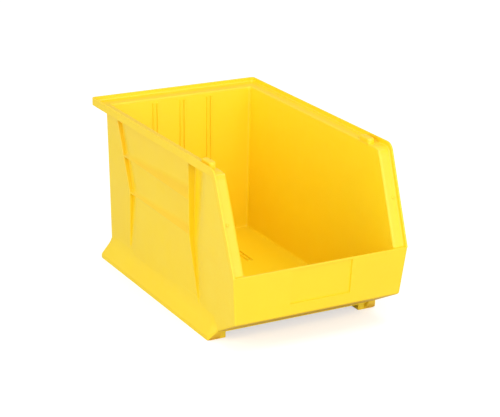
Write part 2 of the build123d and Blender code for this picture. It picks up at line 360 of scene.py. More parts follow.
def soft_block(low, high, profile, plan_reach, profile_reach, steps=4):
    """Grid for a block with rounded corners in plan. profile lists (how far in from the sides, level)."""
    (x0, y0, _), (x1, y1, _) = low, high
    ring = []
    for x, y, sx, sy in ((x0, y0, 1, 1), (x1, y0, -1, 1), (x1, y1, -1, -1), (x0, y1, 1, -1)):
        ring.append([(x + sx * inward, y + sy * inward, z) for inward, z in profile])
    return soft_grid(np.array(ring, float), [plan_reach] * 4, profile_reach, ring=True, steps=steps)


def solid_block(low, high, plan_reach, top_reach, steps=4):
    """Grid for a solid block with rounded corners in plan and a rounded upper edge."""
    profile = [(0, low[2]), (0, high[2]), (top_reach * 1.6, high[2])]
    return soft_block(low, high, profile, plan_reach, [0, top_reach, 0], steps)


# Plastic

# Tints of the painted shade on faces that look up and on faces that look down
TOP_SHADE_TINT = (0.96, 0.7, 0.6, 1)
UNDERSIDE_SHADE_TINT = (0.85, 0.62, 0.5, 1)
GRAIN_HEIGHT = 0.000022
WAVE_HEIGHT = 0.00022
SCRATCH_HEIGHT = -0.00001
# Each input of the surface group: its name, kind and default
SURFACE_INPUTS = [
    ("Colour", "NodeSocketColor", (0.95, 0.6, 0.02, 1)),
    ("Deep Colour", "NodeSocketColor", (0.9, 0.5, 0.01, 1)),
    ("Edge Colour", "NodeSocketColor", (1, 0.75, 0.1, 1)),
    ("Grain Size", "NodeSocketFloat", 0.0006),
    ("Roughness", "NodeSocketFloat", 0.4),
    ("Edge Wear", "NodeSocketFloat", 0.3),
    ("Scratches", "NodeSocketFloat", 0.2),
    # The last two inputs set how strong the painted shade is on faces that look up and on faces that look
    # down
    ("Top Shade", "NodeSocketFloat", 0.0),
    ("Underside Shade", "NodeSocketFloat", 0.5),
]
SURFACE_OUTPUTS = [
    ("Colour", "NodeSocketColor"),
    ("Roughness", "NodeSocketFloat"),
    ("Height", "NodeSocketFloat"),
]


def moulded_surface():
    """Node group: colour drift, grain, rubbed edges and fine scratches of moulded plastic, with painted shade
    on faces that look up and on faces that look down.
    """
    found = bpy.data.node_groups.get("moulded_surface")
    if found:
        return found
    group = bpy.data.node_groups.new("moulded_surface", "ShaderNodeTree")
    for name, kind, default in SURFACE_INPUTS:
        group.interface.new_socket(name=name, in_out="INPUT", socket_type=kind).default_value = default
    for name, kind in SURFACE_OUTPUTS:
        group.interface.new_socket(name=name, in_out="OUTPUT", socket_type=kind)
    nodes, links = group.nodes, group.links
    given = nodes.new("NodeGroupInput")
    result = nodes.new("NodeGroupOutput")
    place = nodes.new("ShaderNodeTexCoord").outputs["Object"]

    def feed(socket, value):
        if isinstance(value, (int, float, tuple)):
            socket.default_value = value
        else:
            links.new(value, socket)

    def maths(operation, *values):
        node = nodes.new("ShaderNodeMath")
        node.operation = operation
        for slot, value in enumerate(values):
            feed(node.inputs[slot], value)
        return node.outputs[0]

    def noise(scale, detail, rough=0.5, where=place):
        node = nodes.new("ShaderNodeTexNoise")
        node.inputs["Detail"].default_value = detail
        node.inputs["Roughness"].default_value = rough
        links.new(where, node.inputs["Vector"])
        feed(node.inputs["Scale"], scale)
        return node.outputs["Fac"]

    def blend(kind, factor, a, b):
        node = nodes.new("ShaderNodeMix")
        node.data_type = "RGBA"
        node.blend_type = kind
        links.new(factor, node.inputs["Factor"])
        for name, value in (("A", a), ("B", b)):
            feed([s for s in node.inputs if s.name == name and s.type == "RGBA"][0], value)
        return [s for s in node.outputs if s.type == "RGBA"][0]

    def spread(value, low, high, to_low, to_high):
        """Maps low to high onto two new values, and holds them beyond."""
        node = nodes.new("ShaderNodeMapRange")
        links.new(value, node.inputs["Value"])
        for name, number in (("From Min", low), ("From Max", high), ("To Min", to_low), ("To Max", to_high)):
            node.inputs[name].default_value = number
        return node.outputs["Result"]

    # Colour drift where the melt flowed, over some centimetres and over the whole wall
    flow = noise(9, 3, 0.45)
    patch = noise(42, 2)
    drift = maths("MULTIPLY_ADD", patch, 0.35, flow)
    deep = given.outputs["Deep Colour"]
    colour = blend("MIX", spread(drift, 0.45, 0.9, 0.0, 0.55), given.outputs["Colour"], deep)
    # Pigment flecks, well under a millimetre
    fleck = noise(1800, 1)
    colour = blend("MIX", spread(fleck, 0.62, 0.8, 0.0, 0.12), colour, deep)
    # Edges rubbed paler by handling, broken up by noise
    geometry = nodes.new("ShaderNodeNewGeometry")
    bend = geometry.outputs["Pointiness"]
    broken = spread(noise(160, 4, 0.6), 0.35, 0.65, 0.35, 1.0)
    edge = maths("MULTIPLY", spread(bend, 0.505, 0.56, 0.0, 1.0), broken)
    worn = maths("MULTIPLY", edge, given.outputs["Edge Wear"])
    colour = blend("MIX", worn, colour, given.outputs["Edge Colour"])
    # Fine scuffs: long stretched noise in two directions
    scuffs = []
    for stretch in ((6, 260, 90), (240, 8, 60)):
        mapping = nodes.new("ShaderNodeMapping")
        mapping.inputs["Scale"].default_value = stretch
        mapping.inputs["Rotation"].default_value = (0.3, 0.2, stretch[0] * 0.01)
        links.new(place, mapping.inputs["Vector"])
        scuffs.append(spread(noise(2.2, 2, 0.5, mapping.outputs["Vector"]), 0.69, 0.74, 0.0, 1.0))
    scuff = maths("MULTIPLY", maths("MAXIMUM", scuffs[0], scuffs[1]), given.outputs["Scratches"])
    colour = blend("MIX", maths("MULTIPLY", scuff, 0.35), colour, given.outputs["Edge Colour"])
    # Painted shade: faces that look up get a darker, more orange tint, and faces that look down a deeper one,
    # as the frontal light leaves them in shade
    facing = nodes.new("ShaderNodeSeparateXYZ")
    links.new(geometry.outputs["Normal"], facing.inputs["Vector"])
    lift = facing.outputs["Z"]
    top_shading = maths("MULTIPLY", spread(lift, 0.05, 0.45, 0.0, 1.0), given.outputs["Top Shade"])
    colour = blend("MULTIPLY", top_shading, colour, TOP_SHADE_TINT)
    under = maths("MULTIPLY", spread(lift, -0.7, -0.2, 1.0, 0.0), given.outputs["Underside Shade"])
    colour = blend("MULTIPLY", under, colour, UNDERSIDE_SHADE_TINT)
    links.new(colour, result.inputs["Colour"])
    # Roughness: satin, dulled by rubbing, with soft cloudy changes
    cloudy = spread(noise(28, 4, 0.6), 0.3, 0.7, -0.05, 0.06)
    rough = maths("ADD", given.outputs["Roughness"], cloudy)
    rough = maths("ADD", rough, maths("MULTIPLY", maths("MAXIMUM", worn, scuff), 0.14))
    links.new(rough, result.inputs["Roughness"])
    # Height in metres: fine moulded grain, faint waves where the wall sank, shallow scratches
    grain = noise(maths("DIVIDE", 1.0, given.outputs["Grain Size"]), 2, 0.6)
    height = maths("MULTIPLY", grain, GRAIN_HEIGHT)
    height = maths("MULTIPLY_ADD", noise(14, 2), WAVE_HEIGHT, height)
    height = maths("MULTIPLY_ADD", scuff, SCRATCH_HEIGHT, height)
    links.new(height, result.inputs["Height"])
    return group


def shaded(colour, shade):
    """A lit or shaded copy of a colour: its green, and half as much its red, made stronger for painted light
    or weaker for painted shade.
    """
    red, green, blue = colour
    return (min(1, red * (0.5 + shade / 2)), green * shade, blue, 1)


def plastic(name, grain, roughness, wear, scratches, top_shade=0.0, underside=1.0, shade=1.0):
    """Satin coloured polypropylene, named for the surface that it covers. grain is in millimetres. The last
    three settings paint shade on faces that look up and on faces that look down, and make a lit or shaded
    copy of the colours as painted light or painted shade.
    """
    found = bpy.data.materials.get(name)
    if found:
        return found
    look = bpy.context.scene.bin_look
    material = bpy.data.materials.new(name)
    material.use_nodes = True
    nodes, links = material.node_tree.nodes, material.node_tree.links
    shader = nodes["Principled BSDF"]
    surface = nodes.new("ShaderNodeGroup")
    surface.node_tree = moulded_surface()
    surface.inputs["Colour"].default_value = shaded(look.colour, shade)
    surface.inputs["Deep Colour"].default_value = shaded(look.deep_colour, shade)
    surface.inputs["Edge Colour"].default_value = (*look.edge_colour, 1)
    surface.inputs["Grain Size"].default_value = grain * MM
    surface.inputs["Roughness"].default_value = roughness
    surface.inputs["Edge Wear"].default_value = wear
    surface.inputs["Scratches"].default_value = scratches
    surface.inputs["Top Shade"].default_value = top_shade
    surface.inputs["Underside Shade"].default_value = underside
    bump = nodes.new("ShaderNodeBump")
    bump.inputs["Distance"].default_value = 1.0
    links.new(surface.outputs["Height"], bump.inputs["Height"])
    links.new(surface.outputs["Colour"], shader.inputs["Base Color"])
    links.new(surface.outputs["Roughness"], shader.inputs["Roughness"])
    links.new(bump.outputs["Normal"], shader.inputs["Normal"])
    shader.inputs["IOR"].default_value = 1.49
    shader.inputs["Specular IOR Level"].default_value = 0.75
    return material


# Painted shade on the outside's faces that look up and on its faces that look down
def outside_plastic():
    return plastic("satin_outside", 0.7, 0.42, 0.45, 0.25, top_shade=0.28, underside=0.5)


# Painted light: the inside is a brighter copy of the plastic, and its faces that look down get painted shade
def inside_plastic():
    return plastic("smooth_lit_inside", 0.9, 0.48, 0.15, 0.35, shade=1.06)


# Painted shade on the rim's faces that look up and on its faces that look down
def rim_plastic():
    return plastic("handled_shaded_rim", 0.8, 0.46, 0.2, 0.35, top_shade=0.16)


# Painted shade on the base's faces that look down
def base_plastic():
    return plastic("rubbed_base", 0.7, 0.46, 0.6, 0.6)


# Painted shade: the feet are a darker copy of the plastic, with more painted shade on faces that look down
def foot_plastic():
    return plastic("scuffed_shaded_feet", 0.7, 0.5, 0.3, 0.7, underside=0.4, shade=0.97)


# Pieces

def rim_foot():
    """Corners of the rim's stepped section where the hopper's sloped edge meets the front wall."""
    outer, land = FRONT_HALF, inner_half(HOPPER_TOP)
    inner_lip = outer - LIP_WALL
    spots = [
        (outer, LAND_BACK), (outer, 0), (inner_lip, 0), (inner_lip, LAND_SETBACK),
        (land, LAND_SETBACK), (land, LAND_BACK), (inner_lip, LAND_BACK), (inner_lip, LAND_BACK),
    ]
    return [(x, y, HOPPER_TOP - SINK) for x, y in spots]


def rim_bend():
    """Corners of the rim's section at the top of the sloped edge, where it turns level."""
    inner_lip = RIM_HALF - LIP_WALL
    spots = [
        (RIM_HALF, LAND_BACK, LIP_BOTTOM), (RIM_HALF, 0, TOP), (inner_lip, 0, TOP),
        (inner_lip, LAND_SETBACK, SHELF_TOP), (SHELF_HALF, LAND_SETBACK, SHELF_TOP),
        (SHELF_HALF, LAND_BACK, SHELF_UNDER), (inner_lip, LAND_BACK, SHELF_UNDER),
        (inner_lip, LAND_BACK, LIP_BOTTOM),
    ]
    return [(x, slope_at(z) + back, z) for x, back, z in spots]


def rim_corner():
    """Corners of the rim's section at the back corner."""
    inner_lip, lip_back = RIM_HALF - LIP_WALL, LENGTH - LIP_WALL
    return [
        (RIM_HALF, LENGTH, LIP_BOTTOM), (RIM_HALF, LENGTH, TOP), (inner_lip, lip_back, TOP),
        (inner_lip, lip_back, SHELF_TOP), (SHELF_HALF, BACK_INSIDE_TOP, SHELF_TOP),
        (SHELF_HALF, BACK_INSIDE_TOP, SHELF_UNDER), (inner_lip, lip_back, SHELF_UNDER),
        (inner_lip, lip_back, LIP_BOTTOM),
    ]


def build_rim():
    corners = both_halves([rim_foot(), rim_bend(), rim_corner()])
    section_reach = [0.7, 1.1, 1.0, 2.6, 4.5, 0, 0, 0.6]
    along = [0, 11.0, 5.0, 5.0, 11.0, 0]
    grid = soft_grid(corners, section_reach, along, ring=True, steps=6)
    tube_piece("stacking_rim", grid, rim_plastic(), "hang_lip",
               "left_side_rim", "right_side_rim", "left_front_flange", "right_front_flange")


def chin_top(behind):
    """Level of the chin's upper face, this far behind the front."""
    upright = WALL * (1 + CHIN_SLOPE ** 2) ** 0.5 / CHIN_SLOPE
    return FRONT_FOOT - (behind - FRONT_LEAN) / CHIN_SLOPE + upright


def tub_column(top, low):
    """Corners of one side of the tub, from the inside at the top round under the floor to the outside.

    top and low are (distance behind the front, level) of the column's two ends.
    """
    (y_top, z_top), (y_low, z_low) = top, low
    inside, outside = inner_half(z_low), plate_half(z_low) - SCOOP_CUT
    strip, under = inside - FLOOR_STRIP, z_low - FLOOR_SKIN
    return [
        (inner_half(z_top), y_top, z_top), (inside, y_low, z_low), (strip, y_low, z_low),
        (strip, y_low, under), (outside, y_low, under), (plate_half(z_top) - SCOOP_CUT, y_top, z_top),
    ]


def tub_corner(top):
    """Corners of the tub's back corner, in the same order, where the column turns across the back."""
    inside, outside = inner_half(FLOOR_TOP), plate_half(FLOOR_UNDER) - SCOOP_CUT
    rear = back_inner(FLOOR_TOP)
    strip, strip_rear, under = inside - FLOOR_STRIP, rear - FLOOR_STRIP, FLOOR_TOP - FLOOR_SKIN
    return [
        (inner_half(top), back_inner(top), top), (inside, rear, FLOOR_TOP), (strip, strip_rear, FLOOR_TOP),
        (strip, strip_rear, under), (outside, back_outer(FLOOR_UNDER), under),
        (plate_half(top) - SCOOP_CUT, back_outer(top), top),
    ]


def build_tub():
    """Inside faces of the sides and back with their rounded corners, and the back wall's outside."""
    top = SHELF_UNDER + SKIN_OVERLAP
    gusset = HOPPER_TOP - 3.0
    front = FRONT_WALL - SINK
    chin_front = FRONT_LEAN + front
    chin_end = CHIN_RUN + (chin_top(CHIN_RUN) - FLOOR_TOP) * CHIN_SLOPE
    columns = [
        tub_column((front, gusset), (chin_front, chin_top(chin_front))),
        tub_column((LAND_BACK + 1, HOPPER_TOP), (chin_front + 6, chin_top(chin_front + 6))),
        tub_column((slope_at(top) + LAND_BACK + 1, top), (chin_end, FLOOR_TOP)),
        tub_corner(top),
    ]
    corner = chosen("corner_rounding")
    section_reach = [0, chosen("floor_rounding"), 0, 0, 0, 0]
    along = [0, 0, 6.0, corner, corner, 6.0, 0, 0]
    grid = soft_grid(both_halves(columns), section_reach, along, ring=True, steps=6)
    tube_piece("tub_walls", grid, inside_plastic(), "back_wall", "left_side_wall", "right_side_wall")


def build_floor():
    """The floor between the chin and the back wall."""
    half = plate_half(FLOOR_TOP) - SINK
    low = (-half, CHIN_RUN - 2, FLOOR_UNDER)
    high = (half, back_outer(FLOOR_TOP) - SINK, FLOOR_TOP - FLOOR_STEP)
    tube_piece("floor_panel_moulded", solid_block(low, high, 4.0, 0.3), inside_plastic(), "floor_panel")


def front_row(level, near, half, far, far_level, dip=0, inset=0):
    """Corners of the front wall at one level: its outside from left to right, then its inside back again."""
    label_edge = LABEL_HALF + LABEL_EDGE
    row = [(-half + inset, near + inset, level), (-label_edge, near + inset, level)]
    row += [(x, near + dip + inset, level) for x in (-LABEL_HALF, LABEL_HALF)]
    row += [(label_edge, near + inset, level), (half - inset, near + inset, level)]
    row += [(half - inset, far - inset, far_level), (-half + inset, far - inset, far_level)]
    return row


def build_front_wall():
    """The low front wall with its label recess, and the chin that runs back under it."""
    def wall_row(level, dip=0, inset=0):
        near = front_wall_at(level)
        return front_row(level, near, front_wall_half(level), near + FRONT_WALL, level, dip, inset)

    depth = chosen("label_depth")
    floor_level = FLOOR_TOP - CHIN_STEP
    chin_half = outline_half(CHIN_RUN, FLOOR_UNDER)
    rows = [
        wall_row(HOPPER_TOP, inset=FRONT_EDGE_ROUND), wall_row(HOPPER_TOP),
        wall_row(LABEL_TOP + LABEL_EDGE), wall_row(LABEL_TOP, dip=depth),
        wall_row(LABEL_BOTTOM, dip=depth), wall_row(LABEL_BOTTOM - LABEL_EDGE),
        front_row(FRONT_FOOT, FRONT_LEAN, front_wall_half(FRONT_FOOT), FRONT_LEAN + FRONT_WALL,
                  FRONT_FOOT + WALL - CHIN_BEND),
        front_row(FLOOR_UNDER, CHIN_RUN, chin_half, CHIN_RUN + 2, floor_level),
        front_row(FLOOR_UNDER, CHIN_RUN + 3, chin_half, CHIN_RUN + 3, floor_level),
    ]
    corners = np.array(rows, float).transpose(1, 0, 2)
    across = [2.6, 0.15, 0.15, 0.15, 0.15, 2.6, 0.8, 0.8]
    down = [0, 1.0, 0.15, 0.15, 0.15, 0.15, 2.6, 1.0, 0]
    grid = soft_grid(corners, across, down, ring=True, steps=5)
    tube_piece("front_wall_and_chin", grid, outside_plastic(), "front_wall", "front_chin")


def tier_offset(level, part):
    """How far a recessed tier stands out of the flat wall at a level. part is a place in TIER_STEPS."""
    for (high, upper), (low, lower) in zip(TIER_STEPS[::2], TIER_STEPS[1::2]):
        if level >= low:
            return between(min(level, high), low, high, lower[part], upper[part])
    return TIER_STEPS[-1][1][part]


def side_front(level):
    """How far behind the front the side relief begins at a level."""
    if level >= HOPPER_TOP:
        return slope_at(level) + LAND_BACK - SINK
    if level > FRONT_FOOT:
        return front_wall_at(level) + FRONT_WALL - SINK
    return chin_at(level) + WALL


def side_section(level, reach, climb):
    """Corners of one side at a level, from the inside of the front post round to the back.

    reach is how far a rib comes out towards the posts there, from 0 to 1. climb raises the corners
    of the tiers towards the fin.
    """
    plate = plate_half(level) - SCOOP_CUT - SKIN_OVERLAP
    near, far = side_front(level), back_outer(level)
    fin = fin_at(level)
    fin_front = fin - FIN_THICKNESS
    post = LENGTH - three_way(level, POST_REACH)
    edge = max(three_way(level, POCKET_REACH), near + 1)
    ramp_end = min(edge + chosen("pocket_ramp"), fin_front - 2)
    pocket = outline_half(fin_front, level) - three_way(level, POCKET_DEPTH)

    def tier(behind, part):
        base = plate_half(level)
        if reach:
            return base + (outline_half(behind, level) - base) * reach
        return base + tier_offset(level, part)

    points = [
        (plate, near), (outline_half(near, level), near), (outline_half(edge, level), edge),
        (pocket, ramp_end), (pocket, fin_front), (outline_half(fin_front, level) + FIN_PROUD, fin_front),
        (outline_half(fin, level) + FIN_PROUD, fin), (tier(fin, 0), fin),
    ]
    for share, middle_share in SCOOP_CURVE:
        behind = post - chosen("scoop_length") * share
        points.append((between(middle_share, 0, 1, tier(behind, 2), tier(behind, 1)), behind))
    points += [
        (tier(post, 2), post), (outline_half(post, level), post), (outline_half(far, level), far),
        (plate - CORNER_COVER, far), (plate - CORNER_COVER, far - WALL / 2), (plate, far - WALL / 2),
    ]
    placed = []
    for number, (x, y) in enumerate(points):
        on_tier = TIER_STARTS <= number <= TIER_ENDS
        placed.append((x, y, level + (climb * (post - y) / (post - fin) if on_tier else 0)))
    return placed


def build_sides():
    """The outside relief: posts, fin, pocket, stepped tiers and ribs, as one skin on each side."""
    climb = chosen("upper_rib_slope") - RIB_SLOPE_REAR
    low_climb = chosen("lower_rib_slope") - RIB_SLOPE_REAR
    under_upper, under_lower = UPPER_RIB - RIB_EDGE, LOWER_RIB - RIB_EDGE
    levels = [
        (SHELF_UNDER + SINK, 0, 0),
        (UPPER_RIB + RIB_SLOPE_REAR, 0, climb),
        (UPPER_RIB, UPPER_REACH, 0),
        (under_upper, UPPER_REACH, 0),
        (under_upper - RIB_UNDERCUT, 0, 0),
        (LOWER_RIB + RIB_SLOPE_REAR, 0, low_climb),
        (LOWER_RIB, LOWER_REACH, 0),
        (under_lower, LOWER_REACH, 0),
        (under_lower - RIB_UNDERCUT, 0, 0),
        (HOPPER_TOP, 0, 0),
        (HOPPER_TOP - SINK, 0, 0),
        (FRONT_FOOT, 0, 0),
        (SKIRT_TOP, 0, 0),
        (FLOOR_UNDER + SINK, 0, 0),
    ]
    corners = np.array([side_section(*level) for level in levels], float).transpose(1, 0, 2)
    around = [0, 0, 14.0, 9.0, 1.0, 0.6, 0.6, 1.0, 9.0, 4.0, 4.0, 0.8, 1.0, 2.5, 0, 0, 0]
    down = [0, 5.0, 0.6, 0.6, 0.8, 4.0, 0.6, 0.6, 0.8, 0, 0, 0, 0, 0]
    grid = soft_grid(corners, around, down, ring=True, steps=5)
    for side, points in (("right", grid), ("left", mirrored(grid))):
        parts = ("rear_post", "front_post", "side_fin", "side_ribs", "lower_tier")
        tube_piece(f"{side}_side_relief", points, outside_plastic(), *[f"{side}_{part}" for part in parts])


def skirt_tip():
    """Corners of the skirt where its front end fades into the front post."""
    behind = SKIRT_FRONT - SKIRT_FADE
    low = between(behind, FRONT_LEAN, CHIN_RUN, FRONT_FOOT, FLOOR_UNDER) + SINK
    plate = plate_half(SKIRT_TOP) - SINK
    cove_top = SKIRT_TOP + chosen("cove_height")
    points = [(plate_half(cove_top), cove_top), (outline_half(behind, cove_top) - SINK, cove_top)]
    points += [(outline_half(behind, low + rise) - 0.1, low + rise) for rise in (9.0, 4.0, 0.6)]
    points += [(plate, low + rise) for rise in (0.6, 1.2, 1.8, 2.4)]
    return [(x, behind, z) for x, z in points]


def skirt_section(behind, closed=False):
    """Corners of the base skirt's section at one place along a side. closed fills it up to the wall."""
    plate, inner_top = plate_half(SKIRT_TOP) - SINK, SKIRT_TOP - WALL
    cove_top = SKIRT_TOP + chosen("cove_height")
    top_half = outline_half(behind, SKIRT_TOP)
    points = [
        (plate_half(cove_top), cove_top), (outline_half(behind, cove_top) - SINK, cove_top),
        (top_half, SKIRT_TOP), (SKIRT_HALF, SKIRT_EDGE), (SKIRT_HALF, 0),
    ]
    if closed:
        points += [(plate, z) for z in (0, 2, inner_top - 2, inner_top)]
    else:
        inner = SKIRT_HALF - WALL
        points += [
            (inner, 0), (inner, SKIRT_INNER_EDGE), (top_half - SINK - WALL, inner_top), (plate, inner_top),
        ]
    return [(x, behind, z) for x, z in points]


def skirt_corner():
    """Corners of the base skirt's section at the back corner, where it turns across the back."""
    wall_back = back_outer(SKIRT_TOP) + SINK
    cove_top = SKIRT_TOP + chosen("cove_height")
    cove_back = wall_back + back_outer(cove_top) - back_outer(SKIRT_TOP)
    top_half = outline_half(wall_back, SKIRT_TOP)
    inner, inner_top = SKIRT_HALF - WALL, SKIRT_TOP - WALL
    return [
        (plate_half(cove_top), cove_back - WALL, cove_top),
        (outline_half(wall_back, cove_top) - SINK, cove_back, cove_top),
        (top_half, wall_back, SKIRT_TOP),
        (SKIRT_HALF, SKIRT_BACK, SKIRT_EDGE),
        (SKIRT_HALF, SKIRT_BACK, 0),
        (inner, SKIRT_BACK - WALL, 0),
        (inner, SKIRT_BACK - WALL, SKIRT_INNER_EDGE),
        (top_half - SINK - WALL, wall_back - WALL, inner_top),
        (plate_half(SKIRT_TOP) - SINK, wall_back - 2 * SINK, inner_top),
    ]


def build_skirt():
    """The flared base round both sides and the back."""
    end_wall = SKIRT_FRONT + WALL
    corners = both_halves([
        skirt_tip(), skirt_section(SKIRT_FRONT, closed=True), skirt_section(end_wall, closed=True),
        skirt_section(end_wall + 0.05), skirt_corner(),
    ])
    section_reach = [0, 0, 11.0, 1.6, 0.9, 0.9, 0, 0, 0]
    along = [0, 5.0, 0, 0, 7.0, 7.0, 0, 0, 5.0, 0]
    grid = soft_grid(corners, section_reach, along, ring=True, steps=6)
    tube_piece("base_skirt_flared", grid, base_plastic(), "left_base_skirt", "right_base_skirt", "back_skirt")


def build_feet():
    """Hollow feet under the front corners, open underneath."""
    for side in ("right", "left"):
        low, high = node_box(f"{side}_foot")
        profile = [(WALL, high[2] - WALL), (WALL, 0), (0, 0), (0, high[2]), (WALL, high[2])]
        grid = soft_block(low, high, profile, 1.6, [0, 0.5, 0.8, 0, 0])
        tube_piece(f"{side}_hollow_foot", grid, foot_plastic(), f"{side}_foot")


def build_lugs():
    """Stop lugs on the shelf, with rounded ends."""
    for side in ("right", "left"):
        (x0, y0, z0), high = node_box(f"{side}_stop_lug")
        grid = solid_block((x0, y0, z0 - SINK), high, 4.6, 3.2, steps=6)
        tube_piece(f"{side}_lug", grid, rim_plastic(), f"{side}_stop_lug")


def build_pips():
    """Small domed pips on the sloped lands of the hopper."""
    lean = Vector((0, -(TOP - HOPPER_TOP), SLOPE_RUN)).normalized()
    across = Vector((1, 0, 0))
    along = lean.cross(across)
    turns = 24
    for side in ("right", "left"):
        low, high = np.array(node_box(f"{side}_flange_detent"))
        centre, radius = (low + high) / 2, (high[0] - low[0]) / 2
        profile = [(radius, -2 * PIP_HEIGHT), (radius, 0.2 * PIP_HEIGHT),
                   (radius * 0.8, 0.84 * PIP_HEIGHT), (radius * 0.35, PIP_HEIGHT)]
        grid = []
        for k in range(turns):
            angle = 2 * np.pi * k / turns
            ray = across * cos(angle) + along * sin(angle)
            grid.append([centre + np.array(ray * r + lean * height) for r, height in profile])
        tube_piece(f"{side}_pip", np.array(grid), rim_plastic(), f"{side}_flange_detent")


def upright_rib(low, high):
    """Grid for a thin rib that leans back with the back wall, with a rounded crest."""
    (x0, y0, z0), (x1, y1, z1) = low, high
    lean = back_inner(z1) - back_inner(z0)
    ring = [
        [(x0, y1 - lean, z0), (x0, y1, z1)], [(x0, y0, z0), (x0, y0 + lean, z1)],
        [(x1, y0, z0), (x1, y0 + lean, z1)], [(x1, y1 - lean, z0), (x1, y1, z1)],
    ]
    return soften(np.array(ring, float), [0, 0.55, 0.55, 0], True, 3)


def lying_rib(low, high):
    """Grid for a thin rib that lies on the floor, with a rounded crest."""
    return solid_block(low, high, 0.5, 0.5, steps=3)


def rib_group(name, node, rib):
    """Thin ribs in the boxes of a node's own ribs, as one piece of several bars."""
    vertices, faces = [], []
    for low, high in rib_spans(node):
        grid = rib(low, high)
        start = len(vertices)
        vertices += grid.reshape(-1, 3).tolist()
        faces += [[start + v for v in face] for face in tube_faces(*grid.shape[:2])]
    make_piece(name, vertices, faces, inside_plastic(), (node,))


def rib_spans(node):
    """Boxes of the separate ribs in a node, found from their vertices."""
    work = bmesh.new()
    work.from_mesh(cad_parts[node].data)
    bmesh.ops.remove_doubles(work, verts=work.verts, dist=1e-6)
    left = set(work.verts)
    spans = []
    while left:
        reached = [left.pop()]
        for vertex in reached:
            for edge in vertex.link_edges:
                other = edge.other_vert(vertex)
                if other in left:
                    left.discard(other)
                    reached.append(other)
        points = np.array([tuple(v.co) for v in reached]) / MM - (0, FRONT, 0)
        spans.append((tuple(points.min(0)), tuple(points.max(0))))
    work.free()
    return sorted(spans)


def build_divider_ribs():
    """Pairs of thin ribs that hold a divider, up the back wall and along the floor."""
    rib_group("back_rib_pairs", "back_divider_ribs", upright_rib)
    rib_group("floor_rib_pairs", "floor_divider_ribs", lying_rib)


# Stage

def floor_material():
    """Pale paper with faint patches, which also glows a little where the camera sees it."""
    material = bpy.data.materials.new("pale_paper_floor")
    material.use_nodes = True
    nodes, links = material.node_tree.nodes, material.node_tree.links
    shader = nodes["Principled BSDF"]
    patches = nodes.new("ShaderNodeTexNoise")
    patches.inputs["Scale"].default_value = 3.0
    mix = nodes.new("ShaderNodeMix")
    mix.data_type = "RGBA"
    colours = [socket for socket in mix.inputs if socket.type == "RGBA"]
    for socket, pale in zip(colours, (0.62, 0.65)):
        socket.default_value = (pale, pale, pale, 1)
    links.new(patches.outputs["Fac"], mix.inputs["Factor"])
    links.new([socket for socket in mix.outputs if socket.type == "RGBA"][0], shader.inputs["Base Color"])
    shader.inputs["Roughness"].default_value = 0.9
    shader.inputs["Specular IOR Level"].default_value = 0.0
    shader.inputs["Emission Color"].default_value = (1, 1, 1, 1)
    seen = nodes.new("ShaderNodeLightPath").outputs["Is Camera Ray"]
    glow = nodes.new("ShaderNodeMath")
    glow.operation = "MULTIPLY"
    glow.inputs[1].default_value = FLOOR_GLOW_SEEN
    links.new(seen, glow.inputs[0])
    links.new(glow.outputs[0], shader.inputs["Emission Strength"])
    return material


def build_studio_floor(width):
    reach = width / 2
    mesh = bpy.data.meshes.new("studio_floor")
    corners = [(-reach, -reach, 0), (reach, -reach, 0), (reach, reach, 0), (-reach, reach, 0)]
    mesh.from_pydata(corners, [], [(0, 1, 2, 3)])
    mesh.materials.append(floor_material())
    floor = bpy.data.objects.new("studio_floor", mesh)
    bpy.context.scene.collection.objects.link(floor)


def build_surround(room_light):
    """A white room all round, which looks brighter to the camera than the light it gives."""
    world = bpy.data.worlds.new("soft_white_studio")
    bpy.context.scene.world = world
    world.use_nodes = True
    nodes, links = world.node_tree.nodes, world.node_tree.links
    background = nodes["Background"]
    background.inputs["Color"].default_value = (1, 1, 1, 1)
    strength = nodes.new("ShaderNodeMapRange")
    strength.inputs["To Min"].default_value = room_light
    strength.inputs["To Max"].default_value = SURROUND_SEEN
    links.new(nodes.new("ShaderNodeLightPath").outputs["Is Camera Ray"], strength.inputs["Value"])
    links.new(strength.outputs["Result"], background.inputs["Strength"])


def build_softbox(name, power):
    lamp = bpy.data.lights.new(name, "AREA")
    lamp.shape = "SQUARE"
    lamp.size = SOFTBOX_WIDTH
    lamp.energy = power
    holder = bpy.data.objects.new(name, lamp)
    holder.location = SOFTBOX_PLACES[name]
    aim = Vector(SOFTBOX_AIM) - Vector(SOFTBOX_PLACES[name])
    holder.rotation_euler = aim.to_track_quat("-Z", "Y").to_euler()
    bpy.context.scene.collection.objects.link(holder)


def build_camera(studio):
    camera = bpy.data.cameras.new("bin_camera")
    camera.sensor_width = SENSOR_WIDTH
    camera.lens = studio.lens
    turn, tilt, roll = studio.view_turn, studio.view_tilt, studio.view_roll
    forward = Vector((sin(turn) * cos(tilt), cos(turn) * cos(tilt), -sin(tilt)))
    right = forward.cross(Vector((0, 0, 1))).normalized()
    up = right.cross(forward)
    rolled_right = right * cos(roll) + up * sin(roll)
    rolled_up = up * cos(roll) - right * sin(roll)
    axes = Matrix((rolled_right, rolled_up, -forward)).transposed()
    holder = bpy.data.objects.new("bin_camera", camera)
    holder.matrix_world = Matrix.Translation(Vector(studio.camera_place)) @ axes.to_4x4()
    bpy.context.scene.collection.objects.link(holder)
    bpy.context.scene.camera = holder


def build_stage():
    studio = bpy.context.scene.bin_studio
    build_studio_floor(studio.floor_width)
    build_surround(studio.room_light)
    build_softbox("front_softbox", studio.front_light)
    build_softbox("left_softbox", studio.left_light)
    build_softbox("top_softbox", studio.top_light)
    build_softbox("corner_softbox", studio.corner_light)
    build_camera(studio)
    bpy.context.scene.view_settings.view_transform = "Standard"


# Add-on

